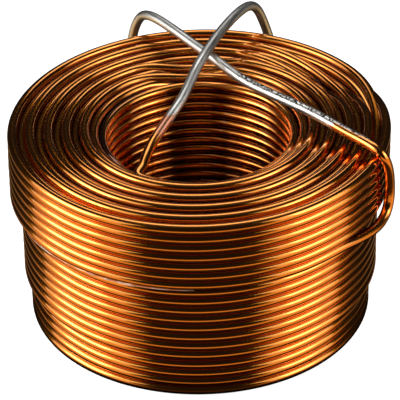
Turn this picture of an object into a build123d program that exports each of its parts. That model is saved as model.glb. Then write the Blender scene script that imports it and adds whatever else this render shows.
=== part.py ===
from build123d import *
import os
from math import atan2, cos, degrees, hypot, radians, sin, sqrt

os.makedirs("parts", exist_ok=True)

# Air core inductor: one enamelled copper wire in a bonded, stepped winding, all in millimetres.
# The Z axis is the bore's axis and the winding stands on Z = 0.

# Wire and winding
wire_diameter = 1.09
tinned_diameter = 1.05
turn_pitch = 1.10
bore_diameter = 19.0
layer_count = 11
tallest_layer_turns = 20
outer_layer_turns = 6
second_layer_turns = 15
groove_fill = 0.10
turns_per_bore_ridge = 2

# Finish lead: leaves the last turn of the outer layer, climbs the side and crosses the bore
last_turn_start = 12.0
finish_azimuth = 318.0
finish_spring = 0.03
finish_run = 9.75
finish_run_drop = 0.35
rim_clearance = 0.35
finish_rise = 0.90
finish_shoulder_azimuth = 337.9
finish_mid_radius = 6.9
finish_mid_azimuth = 42.3
finish_mid_rise = 2.10
finish_hook_azimuth = 102.5
finish_hook_rise = 2.90
finish_tip_azimuth = 108.3
finish_bends = [2.2, 1.3]
finish_tinned_bends = [6.0, 5.0, 2.0]
finish_enamel_share = 0.33

# Start lead: comes out of the innermost layer and crosses over the finish lead
start_azimuth = 256.0
start_bend_azimuth = 229.5
start_bend_rise = 0.40
start_shoulder_inset = 3.8
start_shoulder_azimuth = 213.6
start_shoulder_rise = 1.35
start_mid_radius = 2.5
start_mid_azimuth = 140.9
start_mid_rise = 1.40
crossing_radius = 8.06
crossing_azimuth = 86.2
crossing_gap = 0.36
start_hook_azimuth = 74.9
start_hook_rise = 0.40
start_tip_azimuth = 70.2
start_bends = [1.4, 4.0]
start_tinned_bends = [4.0, 8.0, 2.5, 1.2]
start_enamel_share = 0.40

# Ends of both leads, bent down behind the winding
hook_inset = 2.05
apex_clearance = 0.80
apex_drop = 0.50
tip_lean = 1.90
tip_length = 7.0

# Winding lattice
wire_radius = wire_diameter / 2
ridge_radius = turn_pitch / 2
layer_pitch = sqrt(wire_diameter**2 - ridge_radius**2)
inner_radius = bore_diameter / 2 + ridge_radius
outer_radius = inner_radius + (layer_count - 1) * layer_pitch
winding_radius = outer_radius + ridge_radius
winding_height = tallest_layer_turns * turn_pitch
lowest_row = tallest_layer_turns - 1


def layer_radius(layer):
    """Radius of a layer's wire centres, with layer 0 outermost."""
    return outer_radius - layer * layer_pitch


def row_height(row):
    """Height of a row of wire centres, with row 0 topmost and halves between rows."""
    return winding_height - ridge_radius - row * turn_pitch


def wire_centre(layer, row):
    return (layer_radius(layer), row_height(row))


def top_row(layer):
    """Every other layer lies half a turn lower, and the innermost gives its top turn to the lead."""
    staggered = 0.5 * (layer % 2)
    return staggered + (1 if layer == layer_count - 1 else 0)


def bottom_row(layer):
    if layer == 0:
        return outer_layer_turns - 1
    if layer == 1:
        return second_layer_turns - 0.5
    return lowest_row - 0.5 * (layer % 2)


def exposed_turns():
    """Wire centres up the stepped outside, in across the top and, ridge by ridge, down the bore."""
    turns = []
    for layer in (2, 1, 0):
        row = bottom_row(layer)
        covered_to = bottom_row(layer - 1) if layer else 0
        while row > covered_to:
            turns.append(wire_centre(layer, row))
            row -= 1
    turns += [wire_centre(layer, top_row(layer)) for layer in range(layer_count)]
    innermost = layer_count - 1
    first_inner_row = int(top_row(innermost)) + turns_per_bore_ridge
    inner_rows = range(first_inner_row, lowest_row, turns_per_bore_ridge)
    return turns + [wire_centre(innermost, row) for row in inner_rows]


def direction_angle(start, end):
    return degrees(atan2(end[1] - start[1], end[0] - start[0]))


def groove_point(first, second):
    """Bottom of the bonded groove between two turns, on the right of the line that joins them."""
    along = (second[0] - first[0], second[1] - first[1])
    span = hypot(*along)
    outward = (along[1] / span, -along[0] / span)
    return tuple((a + b) / 2 + groove_fill * n for a, b, n in zip(first, second, outward))


def crest_points(before, centre, after):
    """Crests of a turn, one for each axis direction well clear of the grooves on its two sides."""
    quarter = 90
    opens = direction_angle(centre, groove_point(before, centre))
    sweep = (direction_angle(centre, groove_point(centre, after)) - opens) % 360
    angles = sorted((side * quarter - opens) % 360 for side in range(4))
    shown = [angle for angle in angles if quarter / 2 <= angle <= sweep - quarter / 2]
    crests = []
    for angle in shown or [sweep / 2]:
        tilt = radians(opens + angle)
        crests.append((centre[0] + ridge_radius * cos(tilt), centre[1] + ridge_radius * sin(tilt)))
    return crests


def winding_outline():
    """Ridged outside, top and bore of the winding's section, closed by a plain base."""
    innermost = layer_count - 1
    turns = [*exposed_turns(), wire_centre(innermost, lowest_row)]
    before = [wire_centre(3, bottom_row(3)), *turns]
    after = [*turns[1:], wire_centre(innermost - 1, bottom_row(innermost - 1))]
    outline = []
    for previous, turn, following in zip(before, turns, after):
        outline += crest_points(previous, turn, following)
        outline.append(groove_point(turn, following))
    return outline[:-1]


def make_winding():
    """Section of bonded turns, each a ridge, revolved about the bore's axis."""
    section = Plane.XZ * make_face(Polyline(*winding_outline(), close=True))
    return revolve(section, Axis.Z, 360)


def make_last_turn():
    """Last turn of the outer layer, which stops where the finish lead leaves it."""
    centre = wire_centre(0, outer_layer_turns)
    above = wire_centre(0, outer_layer_turns - 1)
    behind_above = wire_centre(1, outer_layer_turns - 0.5)
    behind_below = wire_centre(1, outer_layer_turns + 0.5)
    ridge = [groove_point(behind_below, centre), *crest_points(behind_below, centre, above)]
    ridge.append(groove_point(centre, above))
    outline = Polyline(*ridge, above, behind_above, behind_below, close=True)
    section = Plane.XZ * make_face(outline)
    swept = finish_azimuth - last_turn_start
    return Rot(0, 0, last_turn_start) * revolve(section, Axis.Z, swept)


def polar_point(radius, azimuth, height):
    return Vector(radius * cos(radians(azimuth)), radius * sin(radians(azimuth)), height)


def round_wire(points, bends, diameter):
    """Round wire along straight runs joined by tangent arcs."""
    path = FilletPolyline(*points, radius=bends)
    section = Plane(origin=path @ 0, z_dir=path % 0) * Circle(diameter / 2)
    return sweep(section, path=path)


def point_between(first, second, share):
    return first + (second - first) * share


def tip_points(hook, azimuth):
    """Apex over the back of the winding and the tip that points down behind it."""
    apex = polar_point(winding_radius + apex_clearance, azimuth, hook.Z - apex_drop)
    tip = polar_point(winding_radius + apex_clearance + tip_lean, azimuth, apex.Z - tip_length)
    return [apex, tip]


def finish_route():
    """Corners of the finish lead from the last turn to its tip."""
    leaving = polar_point(outer_radius + finish_spring, finish_azimuth, row_height(outer_layer_turns))
    tangent = polar_point(finish_run, finish_azimuth + 90, 0)
    foot = leaving + tangent - Vector(0, 0, finish_run_drop)
    shoulder_radius = winding_radius + rim_clearance
    shoulder = polar_point(shoulder_radius, finish_shoulder_azimuth, winding_height + finish_rise)
    middle = polar_point(finish_mid_radius, finish_mid_azimuth, winding_height + finish_mid_rise)
    hook_radius = outer_radius - hook_inset
    hook = polar_point(hook_radius, finish_hook_azimuth, winding_height + finish_hook_rise)
    return [leaving, foot, shoulder, middle, hook, *tip_points(hook, finish_tip_azimuth)]


def start_route():
    """Corners of the start lead from the innermost layer to its tip."""
    first_row = row_height(top_row(layer_count - 1))
    leaving = polar_point(inner_radius, start_azimuth, first_row)
    bend = polar_point(inner_radius, start_bend_azimuth, first_row + start_bend_rise)
    shoulder_radius = inner_radius - start_shoulder_inset
    shoulder = polar_point(shoulder_radius, start_shoulder_azimuth, first_row + start_shoulder_rise)
    middle = polar_point(start_mid_radius, start_mid_azimuth, winding_height + start_mid_rise)
    crossing_height = winding_height + finish_hook_rise + crossing_gap
    crossing = polar_point(crossing_radius, crossing_azimuth, crossing_height + wire_radius)
    hook_radius = outer_radius - hook_inset
    hook = polar_point(hook_radius, start_hook_azimuth, crossing.Z + start_hook_rise)
    return [leaving, bend, shoulder, middle, crossing, hook, *tip_points(hook, start_tip_azimuth)]


def make_lead(route, stripped_after, share, enamel_bends, tinned_bends):
    """Enamelled stretch up to the stripped end, then the tinned stretch to the tip."""
    border = point_between(route[stripped_after], route[stripped_after + 1], share)
    enamelled = round_wire([*route[: stripped_after + 1], border], enamel_bends, wire_diameter)
    tinned = round_wire([border, *route[stripped_after + 1 :]], tinned_bends, tinned_diameter)
    return enamelled + tinned


winding = make_winding() + make_last_turn()
finish_lead = make_lead(finish_route(), 2, finish_enamel_share, finish_bends, finish_tinned_bends)
start_lead = make_lead(start_route(), 2, start_enamel_share, start_bends, start_tinned_bends)
coil = winding + finish_lead + start_lead

export_step(coil, "parts/wound_wire.step")
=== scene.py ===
"""Looks of an air core inductor: one enamelled copper wire in a bonded, stepped winding with two leads.

Lengths in this file are millimetres until a mesh is made. Azimuths are degrees from +X towards +Y, seen
from above. Rows of turns are counted down from the top row, and layers inwards from the outermost.
"""

import logging
import math
from dataclasses import dataclass
from enum import Enum

import bpy
import numpy as np
from mathutils import Matrix, Vector


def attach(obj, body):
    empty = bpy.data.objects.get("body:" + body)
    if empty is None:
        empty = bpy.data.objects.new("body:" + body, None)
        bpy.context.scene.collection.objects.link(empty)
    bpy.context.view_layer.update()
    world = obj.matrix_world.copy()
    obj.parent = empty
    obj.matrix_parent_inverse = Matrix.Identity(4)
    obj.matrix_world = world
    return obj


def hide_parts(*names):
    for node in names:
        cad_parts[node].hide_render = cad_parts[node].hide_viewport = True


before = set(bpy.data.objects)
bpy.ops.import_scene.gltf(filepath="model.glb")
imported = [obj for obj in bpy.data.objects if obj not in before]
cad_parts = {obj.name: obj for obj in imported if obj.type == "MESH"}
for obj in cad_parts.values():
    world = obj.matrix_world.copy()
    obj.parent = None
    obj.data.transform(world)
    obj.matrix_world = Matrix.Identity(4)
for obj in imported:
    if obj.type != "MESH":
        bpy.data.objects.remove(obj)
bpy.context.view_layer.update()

MM = 0.001
NODE = "wound_wire"
FULL_TURN = 360.0
LOG = logging.getLogger("air_core_inductor")

# Sockets of a Mix node by number, since its float and colour sockets share their names.
FLOAT_A, FLOAT_B, COLOUR_A, COLOUR_B, COLOUR_OUT = 2, 3, 6, 7, 2
# Setting of a Map Range node that eases between its limits.
SMOOTH = {"interpolation_type": "SMOOTHSTEP"}

Tree = bpy.types.NodeTree
Socket = bpy.types.NodeSocket
Inputs = dict[str | int, object]
Route = list[tuple[float, float, float]]
Keys = list[tuple[float, float]]
# Points of a line, one per row, and for each a direction across it or its place among the handles.
Line = tuple[np.ndarray, np.ndarray]


class Bend(Enum):
    """Which way the wire bulges, along the coil's axis, where it crosses over the turn under it."""

    UP = 1.0
    DOWN = -1.0


class TipSide(Enum):
    """Which way the marks along the wire run towards its tinned tip."""

    AHEAD = 1.0
    BEHIND = -1.0


def linear_colour(srgb_hex: str) -> tuple[float, float, float, float]:
    """Turn an sRGB hex value into the linear colour that shaders take.

    A channel c becomes c / 12.92 up to 0.04045, and ((c + 0.055) / 1.055)^2.4 above it.

    Args:
        srgb_hex: Six hex digits, such as "F7862B".

    Returns:
        Linear red, green, blue and an alpha of 1.
    """
    parts = [int(srgb_hex[i : i + 2], 16) / 255 for i in (0, 2, 4)]
    red, green, blue = (c / 12.92 if c <= 0.04045 else ((c + 0.055) / 1.055) ** 2.4 for c in parts)
    return red, green, blue, 1.0


def add_node(
    tree: Tree,
    kind: str,
    inputs: Inputs | None = None,
    output: str | int = 0,
    **settings: object,
) -> Socket:
    """Add one shader node with its settings and inputs.

    Args:
        tree: Node tree that gets the node.
        kind: Blender's type name of the node, without its "ShaderNode".
        inputs: For each input, by name or number, a socket to link, an sRGB hex value or a constant.
        output: Name or number of the output to return.
        **settings: Properties of the node itself.

    Returns:
        The chosen output of the new node.
    """
    node = tree.nodes.new(f"ShaderNode{kind}")
    for name, value in settings.items():
        setattr(node, name, value)
    for name, value in (inputs or {}).items():
        if isinstance(value, Socket):
            tree.links.new(value, node.inputs[name])
        else:
            node.inputs[name].default_value = linear_colour(value) if isinstance(value, str) else value
    return node.outputs[output]


def new_material(name: str) -> tuple[bpy.types.Material, Tree]:
    """Make an empty node material.

    Args:
        name: Name of the finish.

    Returns:
        The material and its cleared node tree.
    """
    material = bpy.data.materials.new(name)
    material.use_nodes = True
    material.node_tree.nodes.clear()
    return material, material.node_tree


def show_surface(tree: Tree, shader: Socket, kind: str = "Material") -> None:
    """Send the finished shader to the output of a material or, with kind "World", of the world."""
    output = tree.nodes.new(f"ShaderNodeOutput{kind}")
    tree.links.new(shader, output.inputs["Surface"])


def unit(vectors: np.ndarray) -> np.ndarray:
    """Scale each row of an array of vectors to length 1."""
    return vectors / np.linalg.norm(vectors, axis=-1, keepdims=True)


def smooth_step(t: np.ndarray) -> np.ndarray:
    """Smooth step 3t^2 - 2t^3, held at 0 below 0 and at 1 above 1."""
    t = np.clip(t, 0, 1)
    return t * t * (3 - 2 * t)


def eased(azimuth: np.ndarray, keys: Keys) -> np.ndarray:
    """Value that rests at each key and eases between keys with the smooth step.

    Args:
        azimuth: Total azimuth turned through, in degrees.
        keys: Pairs of azimuth and value, in rising order of azimuth.

    Returns:
        The value at each azimuth.
    """
    at, value = (np.array(column) for column in zip(*keys))
    index = np.clip(np.searchsorted(at, azimuth, side="right") - 1, 0, len(at) - 2)
    share = smooth_step((azimuth - at[index]) / (at[index + 1] - at[index]))
    return value[index] + (value[index + 1] - value[index]) * share


def run_lengths(points: np.ndarray) -> np.ndarray:
    """Distance along a line of points, from its first one."""
    return np.concatenate([[0.0], np.cumsum(np.linalg.norm(np.diff(points, axis=0), axis=1))])


def smooth_line(handles: np.ndarray, spacing: float, samples_per_span: int = 16) -> Line:
    """Uniform cubic B-spline that is led by its handles and starts and ends on the outermost two.

    Each span is the four nearest handles weighted by (1-t)^3, 3t^3-6t^2+4, -3t^3+3t^2+3t+1 and t^3, over 6.

    Args:
        handles: Points that lead the line, one per row.
        spacing: Distance between neighbouring points of the result.
        samples_per_span: Points worked out between two handles, before they are spaced evenly.

    Returns:
        Even points along the line, and for each its place among the handles, counted from 0.
    """
    led = np.vstack([2 * handles[0] - handles[1], handles, 2 * handles[-1] - handles[-2]])
    spans = len(handles) - 1
    place = np.linspace(0, spans, spans * samples_per_span + 1)
    index = np.minimum(place.astype(int), spans - 1)
    t = (place - index)[:, None]
    weights = ((1 - t) ** 3, 3 * t**3 - 6 * t**2 + 4, -3 * t**3 + 3 * t**2 + 3 * t + 1, t**3)
    line = sum(weight * led[index + k] for k, weight in enumerate(weights)) / 6
    along = run_lengths(line)
    stations = np.linspace(0, along[-1], int(along[-1] / spacing) + 1)
    even = np.column_stack([np.interp(stations, along, line[:, axis]) for axis in range(3)])
    return even, np.interp(stations, along, place)


def mesh_object(name: str, points: np.ndarray, quads: np.ndarray, fans: np.ndarray) -> bpy.types.Object:
    """Mesh of smooth quads and flat triangles, from millimetres to metres, placed at the origin.

    Args:
        name: Name of the piece.
        points: Vertices in millimetres, one per row.
        quads: Vertex numbers of the smooth quads, one quad per row.
        fans: Vertex numbers of the flat triangles, one per row.

    Returns:
        The linked object.
    """
    mesh = bpy.data.meshes.new(name)
    mesh.vertices.add(len(points))
    mesh.vertices.foreach_set("co", (points * MM).astype(np.float32).ravel())
    corners = np.concatenate([quads.ravel(), fans.ravel()])
    sizes = np.concatenate([np.full(len(quads), 4), np.full(len(fans), 3)])
    mesh.loops.add(len(corners))
    mesh.loops.foreach_set("vertex_index", corners.astype(np.int32))
    mesh.polygons.add(len(sizes))
    mesh.polygons.foreach_set("loop_start", (np.cumsum(sizes) - sizes).astype(np.int32))
    mesh.polygons.foreach_set("use_smooth", sizes == 4)
    mesh.update(calc_edges=True)
    mesh.validate()
    piece = bpy.data.objects.new(name, mesh)
    bpy.context.scene.collection.objects.link(piece)
    return piece


@dataclass(frozen=True)
class PaintedGrooveShade:
    """Where shade is painted in the grooves between turns and in the bore, and where bare wire shows.

    The winding is open outwards beyond side_radius, up above top_height, inwards within bore_radius and
    down below base_height. What lies above lead_height, beyond lead_outside or within lead_inside is a lead
    and shows all round. Elsewhere the painted shade eases in as the cosine between the surface and the
    nearest open way falls from shown_cosine to 0. In the bore more of it is painted: below crest_height only
    crests that face inwards by more than crest_cosine stay clear of it, and below bore_shade_height it covers
    them too. Both ease in, over crest_fade of the cosine and bore_shade_fade of the height.
    """

    side_radius: float = 17.0
    top_height: float = 20.3
    bore_radius: float = 10.7
    base_height: float = 1.2
    lead_height: float = 22.2
    lead_outside: float = 20.0
    lead_inside: float = 9.4
    shown_cosine: float = 0.45
    crest_cosine: float = 0.72
    crest_fade: float = 0.24
    crest_height: float = 19.8
    bore_shade_height: float = 11.0
    bore_shade_fade: float = 4.0

    def share(self, path: np.ndarray, facing: np.ndarray) -> np.ndarray:
        """How much painted shade each point of a wire gets, from 0 where it shows to 1 where turns touch.

        The part shown is the greatest cosine between the way the surface faces and each way that is open.

        Args:
            path: Centre line, one point per row.
            facing: Unit vector out of the surface, for each point of each ring.

        Returns:
            The share, ring after ring.
        """
        reach = np.hypot(path[:, 0], path[:, 1])[:, None]
        height = path[:, 2][:, None]
        radial = (facing * unit(path * (1, 1, 0))[:, None]).sum(-1)
        rise = facing[..., 2]
        in_bore = reach < self.bore_radius
        open_ways = (
            (reach > self.side_radius, radial),
            (height > self.top_height, rise),
            (in_bore, -radial),
            (height < self.base_height, -rise),
        )
        shown = np.maximum.reduce([np.where(is_open, cosine, -1.0) for is_open, cosine in open_ways])
        is_lead = (height > self.lead_height) | (reach > self.lead_outside) | (reach < self.lead_inside)
        touching = smooth_step(1 - np.where(is_lead, 1.0, shown) / self.shown_cosine)
        # Painted shade in the bore: it darkens all but the crests that face inwards, and deeper down those
        # too.
        beside_crest = (self.crest_cosine + radial) / self.crest_fade
        beside_crest = np.where(height < self.crest_height, beside_crest, 0.0)
        bore_shade = np.maximum((self.bore_shade_height - height) / self.bore_shade_fade, beside_crest)
        return np.maximum(touching, smooth_step(np.where(in_bore, bore_shade, 0.0))).ravel()

    @staticmethod
    def mark(piece: bpy.types.Object, share: np.ndarray) -> None:
        """Store the painted shade of each vertex, from 0 to 1, as a point attribute that the copper reads."""
        attribute = piece.data.attributes.new("groove_shade", "FLOAT", "POINT")
        attribute.data.foreach_set("value", share.astype(np.float32))


def tube(
    name: str,
    path: np.ndarray,
    across: np.ndarray,
    radius: np.ndarray,
    sides: int,
    start_mark: float = 0.0,
) -> bpy.types.Object:
    """Round wire along a path, closed by a cap at each end.

    Each ring is path + radius (cos(a) N + sin(a) B), where N is the reference direction squared to the
    tangent and B is tangent x N. The attribute wire_mm holds the distance along the wire and the place in
    its section, and a second attribute how much painted shade it gets in the grooves and the bore.

    Args:
        name: Name of the piece.
        path: Centre line, one point per row.
        across: Reference direction at each point, never along the tangent.
        radius: Radius at each point.
        sides: Points around the section.
        start_mark: Distance along the wire that the first point is marked with.

    Returns:
        The linked object.
    """
    tangent = unit(np.gradient(path, axis=0))
    normal = unit(across - tangent * (across * tangent).sum(1)[:, None])
    binormal = np.cross(tangent, normal)
    angle = np.linspace(0, 2 * np.pi, sides, endpoint=False)
    flat = np.stack([np.cos(angle), np.sin(angle)], axis=1)[None] * radius[:, None, None]
    rings = path[:, None] + flat[..., :1] * normal[:, None] + flat[..., 1:] * binormal[:, None]
    points = np.vstack([rings.reshape(-1, 3), path[:1], path[-1:]])
    count = len(path)
    ring, side = np.meshgrid(np.arange(count - 1) * sides, np.arange(sides), indexing="ij")
    after = (side + 1) % sides
    quads = np.stack([ring + side, ring + after, ring + sides + after, ring + sides + side], axis=-1)
    lap = np.arange(sides)
    ahead = (lap + 1) % sides
    last = (count - 1) * sides
    first_cap = np.stack([np.full(sides, count * sides), ahead, lap], axis=1)
    last_cap = np.stack([np.full(sides, count * sides + 1), last + lap, last + ahead], axis=1)
    piece = mesh_object(name, points, quads.reshape(-1, 4), np.vstack([first_cap, last_cap]))
    marks = np.empty((count, sides, 3))
    marks[..., 0] = (run_lengths(path) + start_mark)[:, None]
    marks[..., 1:] = flat
    cap_marks = np.array([[marks[0, 0, 0], 0, 0], [marks[-1, 0, 0], 0, 0]])
    attribute = piece.data.attributes.new("wire_mm", "FLOAT_VECTOR", "POINT")
    marked = np.vstack([marks.reshape(-1, 3), cap_marks])
    attribute.data.foreach_set("vector", marked.astype(np.float32).ravel())
    # Painted shade for each ring point, and none at the two cap centres.
    share = PaintedGrooveShade().share(path, unit(rings - path[:, None]))
    PaintedGrooveShade.mark(piece, np.append(share, (0, 0)))
    return piece


def revolved(name: str, outline: list[tuple[float, float]], steps: int) -> bpy.types.Object:
    """Closed ring, an outline of (radius, height) points carried about the bore's axis.

    Each vertex is (radius cos(a), radius sin(a), height).

    Args:
        name: Name of the piece.
        outline: Section in order, with the material on its left.
        steps: Stations round the axis.

    Returns:
        The linked object.
    """
    radius, height = np.array(outline).T
    angle = np.linspace(0, 2 * np.pi, steps, endpoint=False)[:, None]
    level = np.repeat(height[None], steps, axis=0)
    points = np.stack([np.cos(angle) * radius, np.sin(angle) * radius, level], axis=-1)
    count = len(outline)
    turn, side = np.meshgrid(np.arange(steps), np.arange(count), indexing="ij")
    here = turn * count
    following = ((turn + 1) % steps) * count
    beside = (side + 1) % count
    quads = np.stack([here + side, following + side, following + beside, here + beside], axis=-1)
    return mesh_object(name, points.reshape(-1, 3), quads.reshape(-1, 4), np.zeros((0, 3), int))


def dressed(piece: bpy.types.Object, finish: bpy.types.Material) -> bpy.types.Object:
    """Give a piece its finish, attach it to the root body and hide the imported node that it stands for.

    Args:
        piece: Finished mesh in its place.
        finish: Material that covers it.

    Returns:
        The same piece.
    """
    piece.data.materials.append(finish)
    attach(piece, "root")
    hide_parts(NODE)
    return piece


@dataclass(frozen=True)
class Step:
    """Smooth step of a shader value, from before at low to after at high."""

    low: float
    high: float
    before: float = 0.0
    after: float = 1.0

    def of(self, value: Socket) -> Inputs:
        """Take a value through this step, with a Map Range node.

        Args:
            value: Socket of the value.

        Returns:
            Inputs of the node.
        """
        return {
            "Value": value,
            "From Min": self.low,
            "From Max": self.high,
            "To Min": self.before,
            "To Max": self.after,
        }


@dataclass(frozen=True)
class WireNoise:
    """Noise from 0 to 1 that follows the wire, with features of a given length and width in millimetres."""

    along_mm: float
    across_mm: float
    octaves: float = 2.0

    def value(self, tree: Tree) -> Socket:
        """Noise read in the wire's own distances, the attribute wire_mm.

        Args:
            tree: Node tree to add to.

        Returns:
            The noise, from 0 to 1.
        """
        place = add_node(tree, "Attribute", output="Vector", attribute_name="wire_mm")
        scale = (1 / self.along_mm, 1 / self.across_mm, 1 / self.across_mm)
        scaled = add_node(tree, "VectorMath", {0: place, 1: scale}, operation="MULTIPLY")
        return add_node(tree, "TexNoise", {"Vector": scaled, "Scale": 1.0, "Detail": self.octaves}, "Fac")


def wire_mark(tree: Tree, weights: tuple[float, float, float]) -> Socket:
    """Weighted sum of the distance along the wire and the two distances across it."""
    place = add_node(tree, "Attribute", output="Vector", attribute_name="wire_mm")
    return add_node(tree, "VectorMath", {0: place, 1: weights}, "Value", operation="DOT_PRODUCT")


@dataclass(frozen=True)
class EnamelledCopper:
    """Drawn copper magnet wire, dipped in amber enamel.

    The metal mirrors its surroundings in orange, so the wire reads as sharp cream streaks that fall off
    through orange to near black, and the hard coat lays a second, paler glint over it. Faint drawing lines
    run along the wire, far coarser than the real ones, which are too fine to show. A brown painted shade
    darkens the grooves between turns and the depths of the bore.
    """

    name: str = "enamelled_copper_wire"
    copper: str = "EE921C"
    darker: str = "E68514"
    # Brown of the painted shade in the grooves and the bore.
    groove_shade: str = "6A3412"
    coat_weight: float = 0.8
    coat_ior: float = 1.7
    coat_roughness: float = 0.05
    drawing_lines: WireNoise = WireNoise(9.0, 0.9, 3.0)
    roughness: Step = Step(0.3, 0.7, 0.12, 0.16)

    def colour(self, tree: Tree) -> Socket:
        """Orange that drifts as the enamel's thickness does, with brown painted shade in the grooves and
        bore.

        Args:
            tree: Node tree to add to.

        Returns:
            The colour.
        """
        drift = {0: self.drawing_lines.value(tree), COLOUR_A: self.darker, COLOUR_B: self.copper}
        wire = add_node(tree, "Mix", drift, COLOUR_OUT, data_type="RGBA")
        # Painted shade: brown mixed in as far as the point attribute says the spot lies in shade.
        depth = add_node(tree, "Attribute", output="Fac", attribute_name="groove_shade")
        shaded = {0: depth, COLOUR_A: wire, COLOUR_B: self.groove_shade}
        return add_node(tree, "Mix", shaded, COLOUR_OUT, data_type="RGBA")

    def polish(self, tree: Tree) -> Socket:
        """Roughness with long, faint drawing lines."""
        lines = self.roughness.of(self.drawing_lines.value(tree))
        return add_node(tree, "MapRange", lines, **SMOOTH)

    def coat(self) -> Inputs:
        """Inputs of the clear, hard enamel over the metal."""
        return {"Coat IOR": self.coat_ior, "Coat Roughness": self.coat_roughness}

    def build(self) -> bpy.types.Material:
        """Plain wire as it lies in the winding.

        Returns:
            The new material.
        """
        material, tree = new_material(self.name)
        surface = {"Base Color": self.colour(tree), "Roughness": self.polish(tree), "Metallic": 1.0}
        surface |= self.coat() | {"Coat Weight": self.coat_weight}
        show_surface(tree, add_node(tree, "BsdfPrincipled", surface))
        return material


@dataclass(frozen=True)
class TinnedEnd:
    """End of the wire, scraped bare and dipped in solder.

    To the eye it is silver with long dull patches as far as a ragged border, then a stretch of scratched
    pink copper, then enamel. Dark flux is caught in grainy solder on the upper side, where a thin film of
    tin also runs back over the enamel. Distances are counted from the border, towards the tip.
    """

    name: str
    towards_tip: TipSide
    upper_side: tuple[float, float]
    scraped_mm: float
    film_mm: float
    grainy_mm: tuple[float, float]
    enamel: EnamelledCopper = EnamelledCopper()
    tin: str = "EDEBE6"
    dull_tin: str = "C4C2BD"
    flux: str = "26221F"
    bare_copper: str = "EBA483"
    scratch: str = "6E3A16"
    dull_roughness: float = 0.48
    tin_roughness: float = 0.30
    bare_roughness: float = 0.32
    bare_scratches: float = 0.45
    half_width_mm: float = 0.54
    rag_mm: float = 1.4
    rags: WireNoise = WireNoise(0.8, 0.35)
    border: Step = Step(-0.08, 0.08)
    film_rag: float = 1.6
    film_edge_mm: float = 0.3
    film_side: Step = Step(0.74, 0.82)
    scraped_edge_mm: float = 0.8
    scratched_mm: float = 5.0
    scratches: WireNoise = WireNoise(6.0, 0.14)
    scratch_width: Step = Step(0.52, 0.60)
    patches: WireNoise = WireNoise(3.5, 0.25, 3.0)
    patch_edge: Step = Step(0.35, 0.65)
    grains: WireNoise = WireNoise(0.22, 0.22)
    grain_width: Step = Step(0.50, 0.56)
    grainy_side: Step = Step(0.35, 0.65)
    grainy_fade_mm: float = 1.0
    grain_strength: float = 0.6
    grain_depth_mm: float = 0.03

    def edges(self, tree: Tree, along: Socket, up: Socket) -> tuple[Socket, Socket]:
        """Where the wire is tinned, and where its enamel has been scraped off, each from 0 to 1.

        Args:
            tree: Node tree to add to.
            along: Distance from the border.
            up: How far towards the upper side, from -1 to 1.

        Returns:
            The tinned and the scraped share.
        """
        noise = add_node(tree, "Math", {0: self.rags.value(tree), 1: 0.5}, operation="SUBTRACT")
        rag = add_node(tree, "Math", {0: noise, 1: 2 * self.rag_mm}, operation="MULTIPLY")
        ragged = add_node(tree, "Math", {0: along, 1: rag}, operation="ADD")
        dipped = add_node(tree, "MapRange", self.border.of(ragged), **SMOOTH)
        film_rag = add_node(tree, "Math", {0: rag, 1: self.film_rag}, operation="MULTIPLY")
        film_reach = add_node(tree, "Math", {0: along, 1: film_rag}, operation="ADD")
        film_end = Step(-self.film_mm, self.film_edge_mm - self.film_mm).of(film_reach)
        film_back = add_node(tree, "MapRange", film_end, **SMOOTH)
        film_above = add_node(tree, "MapRange", self.film_side.of(up), **SMOOTH)
        film = add_node(tree, "Math", {0: film_back, 1: film_above}, operation="MULTIPLY")
        scraped_end = Step(-self.scraped_mm, self.scraped_edge_mm - self.scraped_mm).of(ragged)
        scraped = add_node(tree, "MapRange", scraped_end, **SMOOTH)
        return add_node(tree, "Math", {0: dipped, 1: film}, operation="MAXIMUM"), scraped

    def copper_colour(self, tree: Tree, along: Socket, scraped: Socket) -> Socket:
        """Enamelled copper, scratched on the way to the scraped stretch, and bare copper there.

        Args:
            tree: Node tree to add to.
            along: Distance from the border.
            scraped: Share of the enamel that is scraped off.

        Returns:
            The colour.
        """
        lines = self.scratch_width.of(self.scratches.value(tree))
        scratched = add_node(tree, "MapRange", lines, **SMOOTH)
        approach = Step(-self.scraped_mm - self.scratched_mm, -self.scraped_mm).of(along)
        near = add_node(tree, "MapRange", approach, **SMOOTH)
        on_enamel = add_node(tree, "Math", {0: scratched, 1: near}, operation="MULTIPLY")
        marked = {0: on_enamel, COLOUR_A: self.enamel.colour(tree), COLOUR_B: self.scratch}
        enamel = add_node(tree, "Mix", marked, COLOUR_OUT, data_type="RGBA")
        on_bare = add_node(tree, "Math", {0: scratched, 1: self.bare_scratches}, operation="MULTIPLY")
        lined = {0: on_bare, COLOUR_A: self.bare_copper, COLOUR_B: self.scratch}
        bare = add_node(tree, "Mix", lined, COLOUR_OUT, data_type="RGBA")
        both = {0: scraped, COLOUR_A: enamel, COLOUR_B: bare}
        return add_node(tree, "Mix", both, COLOUR_OUT, data_type="RGBA")

    def grain(self, tree: Tree, along: Socket, up: Socket) -> Socket:
        """Specks of flux in the solder, on the upper side of the grainy stretch only.

        Args:
            tree: Node tree to add to.
            along: Distance from the border.
            up: How far towards the upper side, from -1 to 1.

        Returns:
            The specks, from 0 to 1.
        """
        first, last = self.grainy_mm
        opens = add_node(tree, "MapRange", Step(first, first + self.grainy_fade_mm).of(along), **SMOOTH)
        closes = add_node(tree, "MapRange", Step(last, last - self.grainy_fade_mm).of(along), **SMOOTH)
        stretch = add_node(tree, "Math", {0: opens, 1: closes}, operation="MULTIPLY")
        side = add_node(tree, "MapRange", self.grainy_side.of(up), **SMOOTH)
        dots = self.grain_width.of(self.grains.value(tree))
        specks = add_node(tree, "MapRange", dots, **SMOOTH)
        area = add_node(tree, "Math", {0: stretch, 1: side}, operation="MULTIPLY")
        return add_node(tree, "Math", {0: area, 1: specks}, operation="MULTIPLY")

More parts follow.
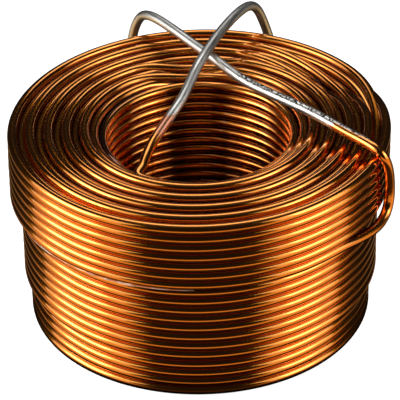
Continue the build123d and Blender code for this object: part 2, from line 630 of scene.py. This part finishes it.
    def build(self) -> bpy.types.Material:
        """Enamelled wire whose far end is scraped and tinned.

        Returns:
            The new material.
        """
        material, tree = new_material(self.name)
        along = wire_mark(tree, (self.towards_tip.value, 0, 0))
        up = wire_mark(tree, (0, *(part / self.half_width_mm for part in self.upper_side)))
        tinned, scraped = self.edges(tree, along, up)
        grain = self.grain(tree, along, up)
        patches = self.patch_edge.of(self.patches.value(tree))
        lustre = add_node(tree, "MapRange", patches, **SMOOTH)
        patched = {0: lustre, COLOUR_A: self.dull_tin, COLOUR_B: self.tin}
        tin = add_node(tree, "Mix", patched, COLOUR_OUT, data_type="RGBA")
        specked = {0: grain, COLOUR_A: tin, COLOUR_B: self.flux}
        solder = add_node(tree, "Mix", specked, COLOUR_OUT, data_type="RGBA")
        dipped = {0: tinned, COLOUR_A: self.copper_colour(tree, along, scraped), COLOUR_B: solder}
        colour = add_node(tree, "Mix", dipped, COLOUR_OUT, data_type="RGBA")
        dulled = Step(0.0, 1.0, self.dull_roughness, self.tin_roughness).of(lustre)
        shine = add_node(tree, "MapRange", dulled, **SMOOTH)
        worn = {0: scraped, FLOAT_A: self.enamel.polish(tree), FLOAT_B: self.bare_roughness}
        rough = add_node(tree, "Mix", {0: tinned, FLOAT_A: add_node(tree, "Mix", worn), FLOAT_B: shine})
        uncoated = add_node(tree, "Math", {0: tinned, 1: scraped}, operation="MAXIMUM")
        coated = Step(0.0, 1.0, self.enamel.coat_weight, 0.0).of(uncoated)
        coat = add_node(tree, "MapRange", coated, **SMOOTH)
        pits = {"Height": grain, "Strength": self.grain_strength, "Distance": self.grain_depth_mm * MM}
        surface = {"Base Color": colour, "Roughness": rough, "Metallic": 1.0, "Coat Weight": coat}
        surface |= self.enamel.coat() | {"Normal": add_node(tree, "Bump", pits, invert=True)}
        show_surface(tree, add_node(tree, "BsdfPrincipled", surface))
        return material


@dataclass(frozen=True)
class BondingVarnish:
    """Clear varnish that oozed out from under the outermost turns and set.

    It reads as a pale, glossy pinkish bead against the orange wire, paler in patches.
    """

    name: str = "bonding_varnish"
    body: str = "E39466"
    pale: str = "FFE2D2"
    roughness: float = 0.15
    patches: WireNoise = WireNoise(2.5, 2.5)
    patch_edge: Step = Step(0.45, 0.6)

    def build(self) -> bpy.types.Material:
        """Glossy resin that turns pale in patches.

        Returns:
            The new material.
        """
        material, tree = new_material(self.name)
        patches = self.patch_edge.of(self.patches.value(tree))
        patch = add_node(tree, "MapRange", patches, **SMOOTH)
        mixed = {0: patch, COLOUR_A: self.body, COLOUR_B: self.pale}
        colour = add_node(tree, "Mix", mixed, COLOUR_OUT, data_type="RGBA")
        resin = add_node(tree, "BsdfPrincipled", {"Base Color": colour, "Roughness": self.roughness})
        show_surface(tree, resin)
        return material


@dataclass(frozen=True)
class Lead:
    """One end of the wire, led through handles from the winding to its tip.

    The sides are directions across the wire at numbered handles, from which the marks around it are
    counted, and the border is the point at which its tin begins.
    """

    end: TinnedEnd
    handles: Route
    sides: list[tuple[int, tuple[float, float, float]]]
    border: tuple[float, float, float]
    spacing: float = 0.3
    enamel_radius: float = 0.545
    tinned_radius: float = 0.528
    border_length: float = 0.5
    tip_rounding: float = 0.12
    tip_share: float = 0.72

    def line(self, leaving: np.ndarray) -> Line:
        """Centre line of the lead and a direction across it.

        Args:
            leaving: Last points of the winding's centre line, which the lead carries on from.

        Returns:
            Points from the winding to the tip and the direction across the wire at each.
        """
        line, place = smooth_line(np.vstack([leaving, np.array(self.handles)]), self.spacing)
        at = np.array([0] + [len(leaving) + index for index, _ in self.sides])
        outward = unit(leaving[0] * (1, 1, 0))
        directions = np.vstack([outward, np.array([side for _, side in self.sides])])
        return line, np.column_stack([np.interp(place, at, directions[:, axis]) for axis in range(3)])

    def tinned_from(self, line: np.ndarray) -> float:
        """Distance along the line at which the tin begins."""
        return float(run_lengths(line)[np.linalg.norm(line - np.array(self.border), axis=1).argmin()])

    def radius(self, line: np.ndarray) -> np.ndarray:
        """Radius along the line: enamelled, a little thinner where tinned, and rounded at the tip.

        At distance d from its end the tip has the radius times s + (1 - s) sqrt(1 - (1 - d / rounding)^2),
        where s is its share at the very end.

        Args:
            line: Points from the winding to the tip.

        Returns:
            The radius at each point.
        """
        along = run_lengths(line)
        tinned = np.clip((along - self.tinned_from(line)) / self.border_length, 0, 1)
        radius = self.enamel_radius + (self.tinned_radius - self.enamel_radius) * tinned
        close = np.clip((along[-1] - along) / self.tip_rounding, 0, 1)
        return radius * (self.tip_share + (1 - self.tip_share) * np.sqrt(1 - (1 - close) ** 2))


START_LEAD = Lead(
    end=TinnedEnd(
        name="tinned_start_end",
        towards_tip=TipSide.BEHIND,
        upper_side=(-0.5, 0.866),
        scraped_mm=3.2,
        film_mm=0.2,
        grainy_mm=(40.0, 41.0),
    ),
    handles=[
        (-5.35, -8.52, 20.35),
        (-6.02, -8.08, 20.35),
        (-6.38, -7.62, 20.38),
        (-6.22, -7.12, 20.43),
        (-5.90, -6.64, 20.54),
        (-5.76, -6.17, 20.69),
        (-5.47, -5.16, 21.08),
        (-5.06, -3.91, 21.47),
        (-4.46, -2.72, 21.88),
        (-3.83, -1.58, 22.29),
        (-3.12, -0.36, 22.73),
        (-2.33, 0.95, 23.19),
        (-1.66, 2.20, 23.62),
        (-1.17, 3.37, 24.05),
        (-0.75, 4.49, 24.46),
        (-0.33, 5.60, 24.86),
        (0.10, 6.60, 25.18),
        (0.62, 7.70, 25.48),
        (1.24, 9.13, 25.70),
        (1.96, 10.90, 25.87),
        (2.72, 12.56, 25.97),
        (3.53, 14.26, 26.01),
        (4.40, 15.95, 26.01),
        (5.25, 17.45, 25.88),
        (5.92, 18.48, 25.52),
        (6.47, 19.25, 24.78),
        (6.89, 19.80, 23.75),
        (7.31, 20.34, 22.34),
        (7.63, 20.76, 21.14),
        (7.90, 21.10, 20.10),
        (8.10, 21.35, 19.00),
    ],
    sides=[
        (0, (-0.3, -0.6, 0.7)),
        (3, (0, 0, 1)),
        (9, (0.2, -0.1, 1)),
        (15, (0.9, -0.43, 0.2)),
        (30, (0.9, -0.43, 0)),
    ],
    border=(-3.1, -0.33, 22.74),
)

FINISH_LEAD = Lead(
    end=TinnedEnd(
        name="tinned_finish_end",
        towards_tip=TipSide.AHEAD,
        upper_side=(0.342, -0.94),
        scraped_mm=0.6,
        film_mm=4.4,
        grainy_mm=(-4.0, 14.0),
    ),
    handles=[
        (15.30, -12.15, 14.82),
        (16.14, -11.30, 14.68),
        (17.06, -10.33, 14.57),
        (17.96, -9.30, 14.56),
        (18.62, -8.31, 14.68),
        (19.09, -7.42, 14.98),
        (19.40, -6.80, 15.62),
        (19.56, -6.62, 16.80),
        (19.52, -6.85, 18.40),
        (19.40, -7.20, 19.95),
        (19.12, -7.62, 21.40),
        (18.70, -7.84, 22.42),
        (18.10, -7.42, 22.95),
        (17.32, -6.60, 23.05),
        (16.42, -5.62, 23.09),
        (15.50, -4.72, 23.15),
        (14.36, -3.64, 23.28),
        (12.54, -1.88, 23.56),
        (10.54, -0.08, 23.72),
        (8.52, 1.62, 23.80),
        (7.30, 2.68, 23.85),
        (6.20, 3.66, 23.89),
        (4.90, 4.90, 23.96),
        (3.73, 6.31, 24.08),
        (2.51, 8.03, 24.22),
        (1.20, 9.88, 24.32),
        (-0.37, 12.00, 24.42),
        (-1.90, 14.10, 24.54),
        (-3.50, 16.28, 24.62),
        (-4.66, 17.85, 24.58),
        (-5.56, 19.10, 24.22),
        (-6.14, 19.98, 23.55),
        (-6.55, 20.40, 22.70),
        (-6.90, 20.72, 21.66),
        (-7.14, 20.96, 20.57),
        (-7.28, 21.18, 19.30),
        (-7.36, 21.38, 18.00),
    ],
    sides=[
        (0, (0.76, -0.65, 0)),
        (6, (0.9, -0.43, 0)),
        (10, (0.66, 0.74, 0)),
        (36, (0.66, 0.74, 0)),
    ],
    border=(14.0, -3.3, 23.3),
)


@dataclass(frozen=True)
class EndFace:
    """One end of the winding, where the wire crosses over from every other layer to the one around it.

    The rows are those of the inner layer's last two turns before the crossover and of the outer layer's
    first two after it. Each crossover gives the inner layer and the azimuths at which the wire leaves it and
    lies in the next one.
    """

    name: str
    rows: tuple[float, float, float, float]
    bulge: Bend
    stations_per_turn: int
    first_seed: int
    crossovers: tuple[tuple[int, float, float], ...]


TOP = EndFace(
    name="top_turns",
    rows=(1.5, 0.5, 0.0, 1.0),
    bulge=Bend.UP,
    stations_per_turn=190,
    first_seed=10,
    crossovers=((3, 28, 74), (5, 32, 80), (7, 94, 122), (9, 94, 130)),
)

BASE = EndFace(
    name="base_turns",
    rows=(18.0, 19.0, 18.5, 17.5),
    bulge=Bend.DOWN,
    stations_per_turn=120,
    first_seed=30,
    crossovers=((8, 150, 180), (6, 165, 195), (4, 140, 170)),
)


@dataclass
class Winding:
    """The stepped winding: turns of one wire as tubes, on a bonded core that closes the gaps behind them.

    A hand-guided wire strays a little in radius and in height, in waves that are each a size in millimetres
    and a count per turn. A lead takes over as many stations of its turns as the handover says, and is led
    by every handover_step of them. At an end face a path starts run_in ahead of the crossover's azimuths and
    ends run_out past them. It comes up, or down, in a window that opens and closes row_ahead of them, and
    goes on to the next row in the last row_change before the start of the third turn.
    """

    copper: EnamelledCopper = EnamelledCopper()
    wire_radius: float = 0.545
    pitch: float = 1.10
    top_height: float = 21.45
    inner_radius: float = 10.05
    layer_pitch: float = 0.941
    innermost_layer: int = 10
    rows: int = 20
    outer_radius: float = 19.43
    middle_radius: float = 18.25
    lower_radius: float = 17.60
    row_tilt: float = 0.0116
    axis_lean: float = 0.0049
    radius_waves: tuple[tuple[float, float], ...] = ((0.010, 0.83), (0.007, 2.31))
    height_waves: tuple[tuple[float, float], ...] = ((0.010, 1.17), (0.006, 2.77))
    base_clearance: float = 0.002
    crossover_lift: float = 0.06
    sides: int = 22
    stations_per_turn: int = 190
    bore_stations: int = 120
    handover: int = 9
    handover_step: int = 4
    run_in: float = 16.0
    row_ahead: tuple[float, float] = (2.0, 8.0)
    row_change: float = 26.0
    run_out: float = 10.0
    outer_tier_end: int = 5
    middle_tier_end: int = 15
    core_steps: int = 180
    core_top_row: float = 1.1
    core_inset: float = 0.1
    outer_core_inset: float = 0.15
    core_base_lift: float = 0.05
    core_ledge_rise: float = 0.9
    core_ledge_drop: float = 0.3

    def layer_radius(self, layer: int) -> float:
        """Radius of a layer's wire centres, with layer 0 outermost."""
        return self.inner_radius + (self.innermost_layer - layer) * self.layer_pitch

    def turns_path(
        self, radius_keys: Keys, row_keys: Keys, per_turn: int, seed: int, lift: Keys | None = None
    ) -> Line:
        """Centre line of turns that lie level, apart from short windows where they change row or layer.

        A point is (R cos(a), R sin(a), top - pitch row + tilt x), where R and row ease between keys of the
        total azimuth a, and both wander by a few hundredths of a millimetre. The tilt fades towards the
        base, and each row stands a little further along -X than the one above.

        Args:
            radius_keys: Radius at keys of the total azimuth, from the first point's to the last one's.
            row_keys: Row at keys of the total azimuth.
            per_turn: Stations in each turn.
            seed: Sets how the wire wanders.
            lift: Extra height at keys of the total azimuth.

        Returns:
            Points of the centre line and the outward direction at each.
        """
        start, end = radius_keys[0][0], radius_keys[-1][0]
        count = int((end - start) / FULL_TURN * per_turn) + 2
        azimuth = np.linspace(start, end, count)
        angle = np.radians(azimuth)
        phases = np.random.default_rng(seed).uniform(0, 2 * np.pi, 4)
        waves = zip((*self.radius_waves, *self.height_waves), phases)
        strayed = [size * np.sin(rate * angle + phase) for (size, rate), phase in waves]
        radius = eased(azimuth, radius_keys) + (strayed[0] + strayed[1])
        row = eased(azimuth, row_keys)
        extra = eased(azimuth, lift) if lift else 0.0
        outward = np.stack([np.cos(angle), np.sin(angle), np.zeros(count)], axis=1)
        points = outward * radius[:, None]
        tilt = self.row_tilt * (1 - row / (self.rows - 1))
        height = self.top_height - self.pitch * row + (strayed[2] + strayed[3]) + extra
        height += tilt * points[:, 0]
        points[:, 2] = np.maximum(height, self.wire_radius + self.base_clearance)
        points[:, 0] -= self.axis_lean * self.pitch * row
        return points, outward

    @staticmethod
    def stepped_rows(opens: float, first_row: float, last_row: float, width: float) -> Keys:
        """Rows that change by one in the same window of each turn, from the first row to the last.

        Args:
            opens: Total azimuth at which the first change starts.
            first_row: Row before the first change.
            last_row: Row after the last one.
            width: Azimuth that a change takes.

        Returns:
            Keys of total azimuth and row.
        """
        step = math.copysign(1, last_row - first_row)
        keys: Keys = []
        for turn in range(int(abs(last_row - first_row))):
            azimuth, row = opens + turn * FULL_TURN, first_row + turn * step
            keys += [(azimuth, row), (azimuth + width, row + step)]
        return keys

    def tube_of(self, name: str, path: np.ndarray, across: np.ndarray) -> bpy.types.Object:
        """Winding wire along a path."""
        return tube(name, path, across, np.full(len(path), self.wire_radius), self.sides)

    def outer_path(self) -> Line:
        """Last turn of the second layer, its step out to the outermost layer and that layer's turns.

        Returns:
            Points of the centre line and the outward direction at each.
        """
        start, crosses, lands, end = -25, 354, 394, 2838
        rows: Keys = [(start, 1.5), (-4, 1.5), (32, 0.5), (crosses, 0.5), (lands, 0.0)]
        rows += [(723, 0.0), (757, 1.0), *self.stepped_rows(1075, 1.0, 6.0, 26), (end, 6.0)]
        second, outer = self.layer_radius(1), self.outer_radius
        radii: Keys = [(start, second), (crosses, second), (lands, outer), (end, outer)]
        middle, lift = (crosses + lands) / 2, self.crossover_lift
        bulge: Keys = [(start, 0.0), (crosses, 0.0), (middle, lift), (lands, 0.0), (end, 0.0)]
        return self.turns_path(radii, rows, self.stations_per_turn, 1, bulge)

    def stepped_path(self) -> Line:
        """Lowest tier, the climb at the back from its last turn, and the middle tier.

        The climb swings out over the lowest tier as it starts, and in to the middle tier at its end.

        Returns:
            Points of the centre line and the outward direction at each.
        """
        start, climbs, lies, end = 0, 1865, 1950, 5428
        swing, settling = 18, 8
        rows: Keys = [(start, 14.0), *self.stepped_rows(70, 14.0, 19.0, 26), (climbs, 19.0)]
        rows += [(lies, 14.5), *self.stepped_rows(2189, 14.5, 5.5, 29), (end, 5.5)]
        over = self.lower_radius + 2 * self.wire_radius
        radii: Keys = [(start, self.lower_radius), (climbs, self.lower_radius), (climbs + swing, over)]
        radii += [(lies - swing, over), (lies + settling, self.middle_radius), (end, self.middle_radius)]
        return self.turns_path(radii, rows, self.stations_per_turn, 2)

    def bore_path(self) -> Line:
        """Turns of the innermost layer from the start lead down, and the first turn around it.

        Returns:
            Points of the centre line and the outward direction at each.
        """
        start, crosses, lands, end = 242, 6990, 7020, 7370
        rows: Keys = [(start, 1.0), *self.stepped_rows(565, 1.0, 19.0, 35), (crosses, 19.0)]
        rows += [(lands, 18.5), (7324, 18.5), (7350, 17.5), (end, 17.5)]
        inner, next_out = self.inner_radius, self.layer_radius(self.innermost_layer - 1)
        radii: Keys = [(start, inner), (crosses, inner), (lands, next_out), (end, next_out)]
        return self.turns_path(radii, rows, self.bore_stations, 3)

    def pair_path(self, face: EndFace, layer: int, leaves: float, lies: float) -> Line:
        """Last turn of a layer at an end face, the crossover, and the first turn of the layer around it.

        Args:
            face: Top or base of the winding.
            layer: The inner of the two layers.
            leaves: Azimuth at which the wire leaves a row or a layer.
            lies: Azimuth at which it lies in the next one.

        Returns:
            Points of the centre line and the outward direction at each.
        """
        before, last, first, after = face.rows
        opens, closes = leaves - self.row_ahead[0], lies - self.row_ahead[1]
        crosses, lands = leaves + FULL_TURN, lies + FULL_TURN
        onward = crosses + FULL_TURN
        start, end = leaves - self.run_in, lands + FULL_TURN + self.run_out
        rows: Keys = [(start, before), (opens, before), (closes, last), (crosses, last)]
        rows += [(lands, first), (onward - self.row_change, first), (onward, after), (end, after)]
        inner, outer = self.layer_radius(layer), self.layer_radius(layer - 1)
        radii: Keys = [(start, inner), (crosses, inner), (lands, outer), (end, outer)]
        middle, lift = (crosses + lands) / 2, face.bulge.value * self.crossover_lift
        bulge: Keys = [(start, 0.0), (crosses, 0.0), (middle, lift), (lands, 0.0), (end, 0.0)]
        return self.turns_path(radii, rows, face.stations_per_turn, face.first_seed + layer, bulge)

    def with_finish_lead(self, lead: Lead) -> bpy.types.Object:
        """Outermost turns, carried on by the finish lead, with marks that count from the start of the tin.

        Args:
            lead: The finish lead.

        Returns:
            The turns and their lead as one wire.
        """
        path, outward = self.outer_path()
        line, across = lead.line(path[-self.handover :: self.handover_step])
        kept = len(path) - self.handover
        route = np.vstack([path[:kept], line])
        directions = np.vstack([outward[:kept], across])
        radius = np.concatenate([np.full(kept, self.wire_radius), lead.radius(line)])
        start = -run_lengths(route)[kept] - lead.tinned_from(line)
        return tube("outer_turns", route, directions, radius, self.sides, start)

    def with_start_lead(self, lead: Lead) -> bpy.types.Object:
        """Turns in the bore, led into by the start lead, with marks that count from the start of the tin.

        Args:
            lead: The start lead.

        Returns:
            The lead and its turns as one wire.
        """
        path, outward = self.bore_path()
        line, across = lead.line(path[self.handover - 1 :: -self.handover_step])
        kept = len(path) - self.handover
        route = np.vstack([line[::-1], path[-kept:]])
        directions = np.vstack([across[::-1], outward[-kept:]])
        radius = np.concatenate([lead.radius(line)[::-1], np.full(kept, self.wire_radius)])
        start = lead.tinned_from(line) - run_lengths(line)[-1]
        return tube("bore_turns", route, directions, radius, self.sides, start)

    def core(self) -> bpy.types.Object:
        """Bonded turns behind those that show, painted in shade: a ring through the shown wire's centres.

        Each corner of its section is a radius drawn in a little, and the height of a row where a tier ends.

        Returns:
            The ring, in full painted shade all over.
        """
        rows = (self.core_top_row, self.outer_tier_end, self.middle_tier_end, self.rows - 1)
        top, outer_end, middle_end, base = (self.top_height - self.pitch * row for row in rows)
        bore, lower = self.inner_radius, self.lower_radius - self.core_inset
        middle, outer = self.middle_radius - self.core_inset, self.outer_radius - self.outer_core_inset
        outline = [(bore, base + self.core_base_lift), (lower, base + self.core_base_lift)]
        outline += [(lower, middle_end), (middle, middle_end + self.core_ledge_rise)]
        outline += [(middle, outer_end - self.core_ledge_drop), (outer, outer_end)]
        outline += [(outer, top), (bore, top)]
        ring = revolved("bonded_core", outline, self.core_steps)
        # Painted shade: the whole ring takes the brown of the grooves in full.
        PaintedGrooveShade.mark(ring, np.ones(len(ring.data.vertices)))
        return ring

    def build_led_turns(self) -> list[bpy.types.Object]:
        """Build and dress the turns that run on into the two leads.

        Returns:
            The outermost turns and the turns in the bore.
        """
        outer_end, bore_end = FINISH_LEAD.end.build(), START_LEAD.end.build()
        outer_turns = dressed(self.with_finish_lead(FINISH_LEAD), outer_end)
        return [outer_turns, dressed(self.with_start_lead(START_LEAD), bore_end)]

    def build_plain_turns(self) -> list[bpy.types.Object]:
        """Build and dress the tiers, the turns of both end faces and the core behind them all.

        Returns:
            The pieces, from the tiers to the core.
        """
        copper = self.copper.build()
        pieces = [self.tube_of("stepped_turns", *self.stepped_path())]
        for face in (TOP, BASE):
            for layer, leaves, lies in face.crossovers:
                path, outward = self.pair_path(face, layer, leaves, lies)
                pieces.append(self.tube_of(f"{face.name}_{layer}", path, outward))
        pieces.append(self.core())
        return [dressed(piece, copper) for piece in pieces]


@dataclass(frozen=True)
class VarnishBead:
    """Thin bead of set varnish along the underside of the lowest outer turn, with three drops in it.

    The tilt share is what is left of the top row's tilt at the bead's row. The end share keeps the bead's
    ends just short of 0 and 1, where its thickness would vanish.
    """

    varnish: BondingVarnish = BondingVarnish()
    row: int = 6
    start: float = 206.0
    end: float = 268.0
    stations: int = 200
    sides: int = 10
    beyond_centre: float = 0.42
    below_centre: float = 0.40
    tilt_share: float = 0.68
    radius: float = 0.05
    ripple: float = 0.02
    ripples: int = 9
    end_radius: float = 0.004
    end_share: float = 0.001
    drop_radius: float = 0.07
    drops: tuple[tuple[float, float], ...] = ((236.5, 1.4), (241.5, 0.6), (249.5, 1.2))

    def build(self, winding: Winding) -> bpy.types.Object:
        """Build and dress the bead on the winding's outermost turn.

        Its radius is (r + ripple sin(ripples a)) sqrt(sin(pi u)) and the end radius, with u from 0 to 1
        along the bead and a the azimuth. Each drop adds its radius times exp(-((a - middle) / half width)^2).

        Args:
            winding: Winding that the bead lies on.

        Returns:
            The dressed piece.
        """
        azimuth = np.radians(np.linspace(self.start, self.end, self.stations))
        along = np.clip(np.linspace(0, 1, self.stations), self.end_share, 1 - self.end_share)
        outward = np.stack([np.cos(azimuth), np.sin(azimuth), np.zeros(self.stations)], axis=1)
        path = outward * (winding.outer_radius + self.beyond_centre)
        height = winding.top_height - winding.pitch * self.row - self.below_centre
        path[:, 2] = height + winding.row_tilt * self.tilt_share * path[:, 0]
        path[:, 0] -= winding.axis_lean * winding.pitch * self.row
        radius = self.radius + self.ripple * np.sin(self.ripples * azimuth)
        radius = radius * np.sqrt(np.sin(np.pi * along)) + self.end_radius
        for middle, half_width in self.drops:
            radius += self.drop_radius * np.exp(-(((np.degrees(azimuth) - middle) / half_width) ** 2))
        return dressed(tube("varnish_bead", path, outward, radius, self.sides), self.varnish.build())


@dataclass(frozen=True)
class SoftBox:
    """Area light that faces the coil and spans the given angles as seen from it, all in degrees.

    The radiance is the brightness of its surface, where 1 is white.
    """

    name: str
    azimuth: float
    elevation: float
    width: float
    height: float
    radiance: float
    distance: float = 350.0
    aim_height: float = 12.0

    def build(self) -> None:
        """Add the light to the scene, unseen by the camera."""
        azimuth, elevation = math.radians(self.azimuth), math.radians(self.elevation)
        level = math.cos(elevation)
        away = Vector((math.cos(azimuth) * level, math.sin(azimuth) * level, math.sin(elevation)))
        data = bpy.data.lights.new(self.name, "AREA")
        data.shape = "RECTANGLE"
        data.size = 2 * self.distance * MM * math.tan(math.radians(self.width / 2))
        data.size_y = 2 * self.distance * MM * math.tan(math.radians(self.height / 2))
        data.energy = self.radiance * math.pi * data.size * data.size_y
        light = bpy.data.objects.new(self.name, data)
        light.location = Vector((0, 0, self.aim_height * MM)) + away * self.distance * MM
        light.rotation_mode = "QUATERNION"
        light.rotation_quaternion = away.to_track_quat("Z", "Y")
        light.visible_camera = False
        bpy.context.scene.collection.objects.link(light)


# Large soft boxes left and right, each brighter towards its middle, one high behind and a faint one above.
SOFT_BOXES = (
    SoftBox("left_box", -165, 21, 63, 50, 1.1),
    SoftBox("left_core", -168, 21, 40, 42, 1.1),
    SoftBox("left_heart", -168, 22, 30, 24, 4.6),
    SoftBox("right_box", -25, 21, 48, 50, 1.1),
    SoftBox("right_core", -22, 21, 32, 40, 0.8),
    SoftBox("right_heart", -26, 22, 22, 22, 2.6),
    SoftBox("back_box", 90, 58, 36, 34, 1.6),
    SoftBox("overhead_box", 90, 88, 60, 40, 0.07),
)


@dataclass(frozen=True)
class FloorSheen:
    """Warm band that the wire mirrors from the floor, set by the mirrored ray's direction.

    It stands in for the white floor in mirrored rays only, because the photographed wire mirrors a dark room.
    The band lies between two steepnesses of the ray, so it draws the same thin line on turns of any height.
    Towards the sides it is stronger and reaches the horizon, and behind the coil, a little more on the
    right, it fades. Mirrored a second time in front, between two turns, it keeps only a fifth, a painted
    darkening of the reflections there. Under the coil the floor is dark.
    """

    colour: str = "FFD28C"
    clear_of_coil: Step = Step(19 * MM, 23 * MM, 0.02, 0.76)
    near_end: Step = Step(0.60, 0.72, 1.0, 0.05)
    far_end: Step = Step(0.24, 0.36, 0.05, 1.0)
    opening: Step = Step(0.45, 0.75)
    sides: Step = Step(0.5, 0.85, 1.0, 1.3)
    behind_share: float = 1.2
    behind: Step = Step(0.2, 0.5, 1.0, 0.2)
    right_share: float = 0.25
    mirrored_again: Step = Step(1.2, 1.8, 1.0, 0.2)

    @staticmethod
    def bearings(tree: Tree) -> tuple[Socket, Socket, Socket]:
        """Which way the mirrored ray leaves the wire.

        Args:
            tree: Node tree to add to.

        Returns:
            How steeply it goes down, and how far right and back it goes in each millimetre of level ground.
        """
        incoming = add_node(tree, "NewGeometry", output="Incoming")
        left, front, steepness = (add_node(tree, "SeparateXYZ", {0: incoming}, axis) for axis in "XYZ")
        squared = add_node(tree, "Math", {0: steepness, 1: steepness}, operation="MULTIPLY")
        negated = add_node(tree, "Math", {0: squared, 1: -1.0}, operation="MULTIPLY")
        # A hair over 1, so that a ray straight down still has a level length to divide by.
        remainder = add_node(tree, "Math", {0: negated, 1: 1.0001}, operation="ADD")
        level = add_node(tree, "Math", {0: remainder, 1: 0.5}, operation="POWER")
        away = [add_node(tree, "Math", {0: part, 1: -1.0}, operation="MULTIPLY") for part in (left, front)]
        right, back = (add_node(tree, "Math", {0: part, 1: level}, operation="DIVIDE") for part in away)
        return steepness, right, back

    def strength(self, tree: Tree) -> Socket:
        """Brightness of the band, where 1 is white.

        Args:
            tree: Node tree to add to.

        Returns:
            The strength of the floor's glow in mirrored rays.
        """
        steepness, right, back = self.bearings(tree)
        place = add_node(tree, "TexCoord", output="Object")
        distance = add_node(tree, "VectorMath", {0: place}, "Value", operation="LENGTH")
        clear = add_node(tree, "MapRange", self.clear_of_coil.of(distance), **SMOOTH)
        across = add_node(tree, "Math", {0: right}, operation="ABSOLUTE")
        backward = add_node(tree, "Math", {0: back, 1: 0.0}, operation="MAXIMUM")
        taken = add_node(tree, "Math", {0: backward, 1: self.behind_share}, operation="MULTIPLY")
        sideways = add_node(tree, "Math", {0: across, 1: taken}, operation="SUBTRACT")
        opened = add_node(tree, "MapRange", self.opening.of(sideways), **SMOOTH)
        far = add_node(tree, "MapRange", self.far_end.of(steepness), **SMOOTH)
        near = add_node(tree, "MapRange", self.near_end.of(steepness), **SMOOTH)
        reaching = add_node(tree, "Math", {0: far, 1: opened}, operation="MAXIMUM")
        band = add_node(tree, "Math", {0: reaching, 1: near}, operation="MULTIPLY")
        stronger = add_node(tree, "MapRange", self.sides.of(sideways), **SMOOTH)
        rightward = add_node(tree, "Math", {0: right, 1: self.right_share}, operation="MULTIPLY")
        rear = add_node(tree, "Math", {0: back, 1: rightward}, operation="ADD")
        faded = add_node(tree, "MapRange", self.behind.of(rear), **SMOOTH)
        mirrorings = self.mirrored_again.of(add_node(tree, "LightPath", output="Glossy Depth"))
        kept = add_node(tree, "MapRange", mirrorings, **SMOOTH)
        again = add_node(tree, "Math", {0: kept, 1: opened}, operation="MAXIMUM")
        total = clear
        for factor in (stronger, faded, band, again):
            total = add_node(tree, "Math", {0: total, 1: factor}, operation="MULTIPLY")
        return total


@dataclass
class Studio:
    """Pale floor, soft boxes either side and behind, and the camera at the photograph's angle."""

    aim_height: float = 21.45
    elevation: float = 31.455
    distance: float = 294.7
    lens: float = 254.7
    pitch_down: float = 1.486
    roll: float = 0.0155
    clip: tuple[float, float] = (0.02, 20.0)
    boxes: tuple[SoftBox, ...] = SOFT_BOXES
    paper: str = "E6E6E6"
    paper_lift: float = 0.86
    paper_half_width: float = 1500.0
    sheen: FloorSheen = FloorSheen()
    room_level: float = 0.014

    def camera(self) -> None:
        """Camera in front, aimed at the coil's top row, then pitched down and rolled as in the photo."""
        elevation = math.radians(self.elevation)
        target = Vector((0, 0, self.aim_height * MM))
        place = target + Vector((0, -math.cos(elevation), math.sin(elevation))) * self.distance * MM
        data = bpy.data.cameras.new("photo_camera")
        data.lens = self.lens
        data.clip_start, data.clip_end = self.clip
        camera = bpy.data.objects.new("photo_camera", data)
        bpy.context.scene.collection.objects.link(camera)
        look = math.radians(90 - self.elevation - self.pitch_down)
        turn = Matrix.Rotation(look, 4, "X") @ Matrix.Rotation(-self.roll, 4, "Z")
        camera.matrix_world = Matrix.Translation(place) @ turn
        bpy.context.scene.camera = camera

    def paper_material(self) -> bpy.types.Material:
        """White paper: matt, lifted to white for the camera, and mirrored by the wire as the warm band.

        Returns:
            The new material.
        """
        material, tree = new_material("white_paper")
        rays = ("Is Camera Ray", "Is Transmission Ray", "Is Glossy Ray")
        camera_ray, transmission_ray, glossy_ray = (add_node(tree, "LightPath", output=ray) for ray in rays)
        seen = add_node(tree, "Math", {0: camera_ray, 1: transmission_ray}, operation="MAXIMUM")
        lift = add_node(tree, "Math", {0: seen, 1: self.paper_lift}, operation="MULTIPLY")
        paper = add_node(tree, "BsdfDiffuse", {"Color": self.paper})
        light = add_node(tree, "Emission", {"Strength": lift, "Color": (1, 1, 1, 1)})
        shown = add_node(tree, "AddShader", {0: paper, 1: light})
        # Painted glow: the floor emits the warm band in mirrored rays only.
        band = {"Strength": self.sheen.strength(tree), "Color": self.sheen.colour}
        sheen = add_node(tree, "Emission", band)
        show_surface(tree, add_node(tree, "MixShader", {0: glossy_ray, 1: shown, 2: sheen}))
        return material

    def floor(self) -> None:
        """Paper floor under the coil, which keeps the coil's soft shadow."""
        half = self.paper_half_width
        corners = np.array([(-half, -half, 0), (half, -half, 0), (half, half, 0), (-half, half, 0)], float)
        floor = mesh_object("paper_floor", corners, np.array([[0, 1, 2, 3]]), np.zeros((0, 3), int))
        floor.data.materials.append(self.paper_material())

    def world(self) -> None:
        """Dim room around the coil, which the wire mirrors as dark bands, white to the camera alone."""
        world = bpy.data.worlds.new("studio_room")
        world.use_nodes = True
        tree = world.node_tree
        tree.nodes.clear()
        camera_ray = add_node(tree, "LightPath", output="Is Camera Ray")
        level = add_node(tree, "MapRange", {"Value": camera_ray, "To Min": self.room_level, "To Max": 1.0})
        room = add_node(tree, "Background", {"Strength": level, "Color": (1, 1, 1, 1)})
        show_surface(tree, room, "World")
        bpy.context.scene.world = world

    def build(self) -> None:
        """Set the view transform and make the camera, floor, room and lights."""
        bpy.context.scene.view_settings.view_transform = "Standard"
        self.camera()
        self.floor()
        self.world()
        for box in self.boxes:
            box.build()


def main() -> None:
    """Build the studio and the coil's pieces, and log each piece's count of faces."""
    logging.basicConfig(level=logging.INFO, format="%(name)s: %(message)s")
    Studio().build()
    winding = Winding()
    pieces = [*winding.build_led_turns(), VarnishBead().build(winding), *winding.build_plain_turns()]
    for piece in pieces:
        LOG.info("%s: %d faces", piece.name, len(piece.data.polygons))


if __name__ == "__main__":
    main()
